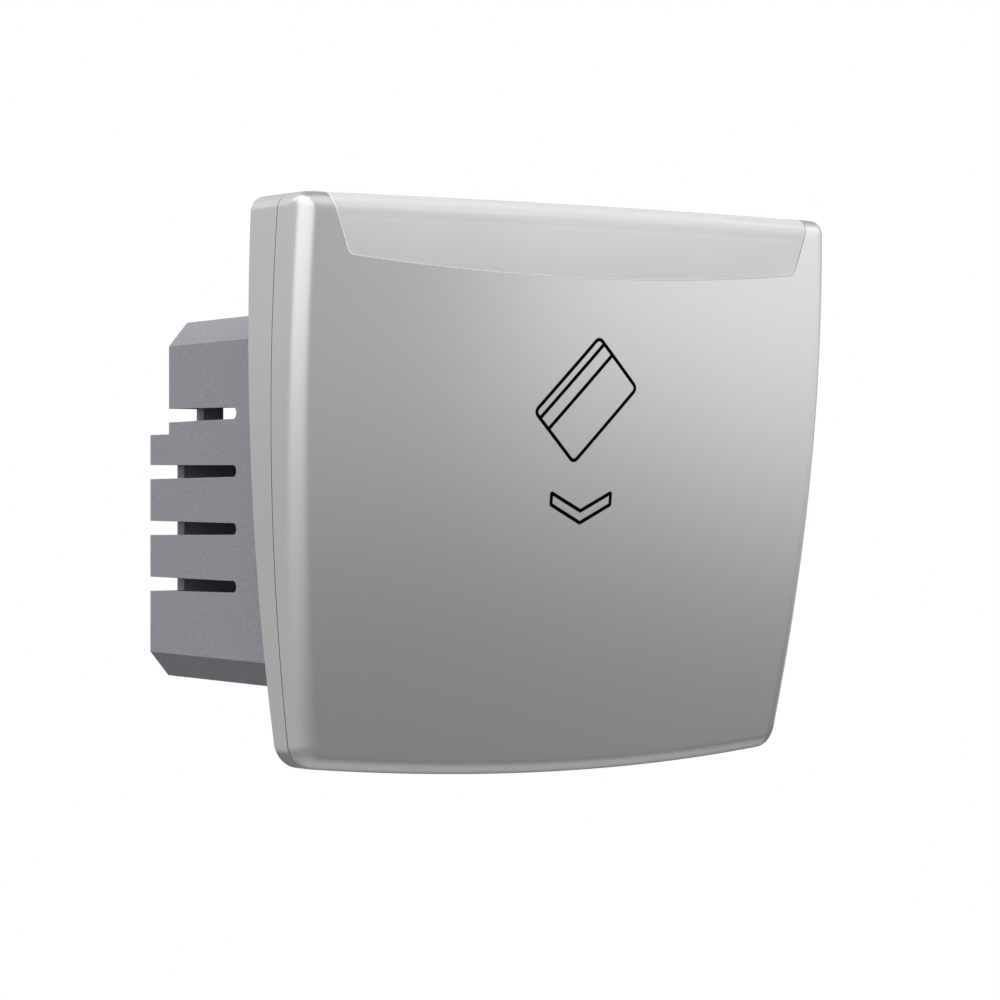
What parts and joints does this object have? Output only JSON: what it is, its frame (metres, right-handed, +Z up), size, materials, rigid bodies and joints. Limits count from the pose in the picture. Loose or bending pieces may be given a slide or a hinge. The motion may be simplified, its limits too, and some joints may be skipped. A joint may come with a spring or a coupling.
{
  "type": "hotel key card switch",
  "caption": "Wall unit with a barrel shaped silver cover, a light window and a card slot on top, whose lever closes a microswitch while a card stands in it.",
  "frame": {"origin": "midway between the two box screws, on the wall plane at the back of the rear frame", "axes": "+X to the right seen from the front, +Y into the wall, +Z up"},
  "size_m": [0.092, 0.0573, 0.0786],
  "materials": {
    "silver_paint": "satin metallic silver paint on plastic",
    "lens_plastic": "translucent white light window",
    "grey_body": "fine grained blue grey moulding",
    "steel": "zinc plated sheet steel",
    "screw_steel": "plated screws",
    "white_plastic": "white moulding",
    "black_plastic": "black moulding",
    "red_plastic": "red plunger",
    "spring_steel": "bright drawn wire",
    "board_green": "solder masked board",
    "board_white": "white solder masked board",
    "led_white": "lamp with a yellow phosphor",
    "tin": "tinned leads",
    "brass": "brass terminal cages",
    "relay_blue": "blue relay case",
    "film_yellow": "yellow capacitor box",
    "can_sleeve": "dark sleeve on an aluminium can",
    "varistor_blue": "dipped disc",
    "resistor_green": "flameproof coating"
  },
  "bodies": {
    "base": {"front_cover": "silver_paint", "light_lens": "lens_plastic", "rear_frame": "silver_paint", "mounting_plate": "steel", "housing": "grey_body", "housing_screws": "screw_steel", "card_tray": "white_plastic", "tray_screws": "screw_steel", "lever_pin": "spring_steel", "lever_spring": "spring_steel", "microswitch_case": "black_plastic", "microswitch_pins": "tin", "led_board": "board_white", "leds": "led_white", "led_link_pins": "tin", "main_board": "board_green", "board_screws": "screw_steel", "relay_case": "relay_blue", "relay_pins": "tin", "terminal_block": "black_plastic", "terminal_cages": "brass", "terminal_screws": "screw_steel", "film_capacitor": "film_yellow", "smoothing_capacitor": "can_sleeve", "bridge_rectifier": "black_plastic", "varistor": "varistor_blue", "fuse_resistor": "resistor_green", "driver_transistor": "black_plastic", "control_chip": "black_plastic", "chip_resistors": "black_plastic"},
    "lever": {"card_lever": "white_plastic"},
    "plunger": {"microswitch_plunger": "red_plastic"}
  },
  "joints": [
    {"name": "lever_turn", "type": "hinge", "parent": "base", "child": "lever", "pos_m": [0, 0.0014, 0.0085], "axis": [1, 0, 0], "range_deg": [0, 18], "stiffness_Nm_per_rad": 0.004, "springref_deg": -20.05, "deforming": ["lever_spring"]},
    {"name": "plunger_press", "type": "slide", "parent": "base", "child": "plunger", "axis": [0, 1, 0], "range_m": [0, 0.0012]}
  ],
  "couplings": [
    {"joint": "plunger_press", "follows": "lever_turn", "m_per_rad": 0.0035}
  ]
}
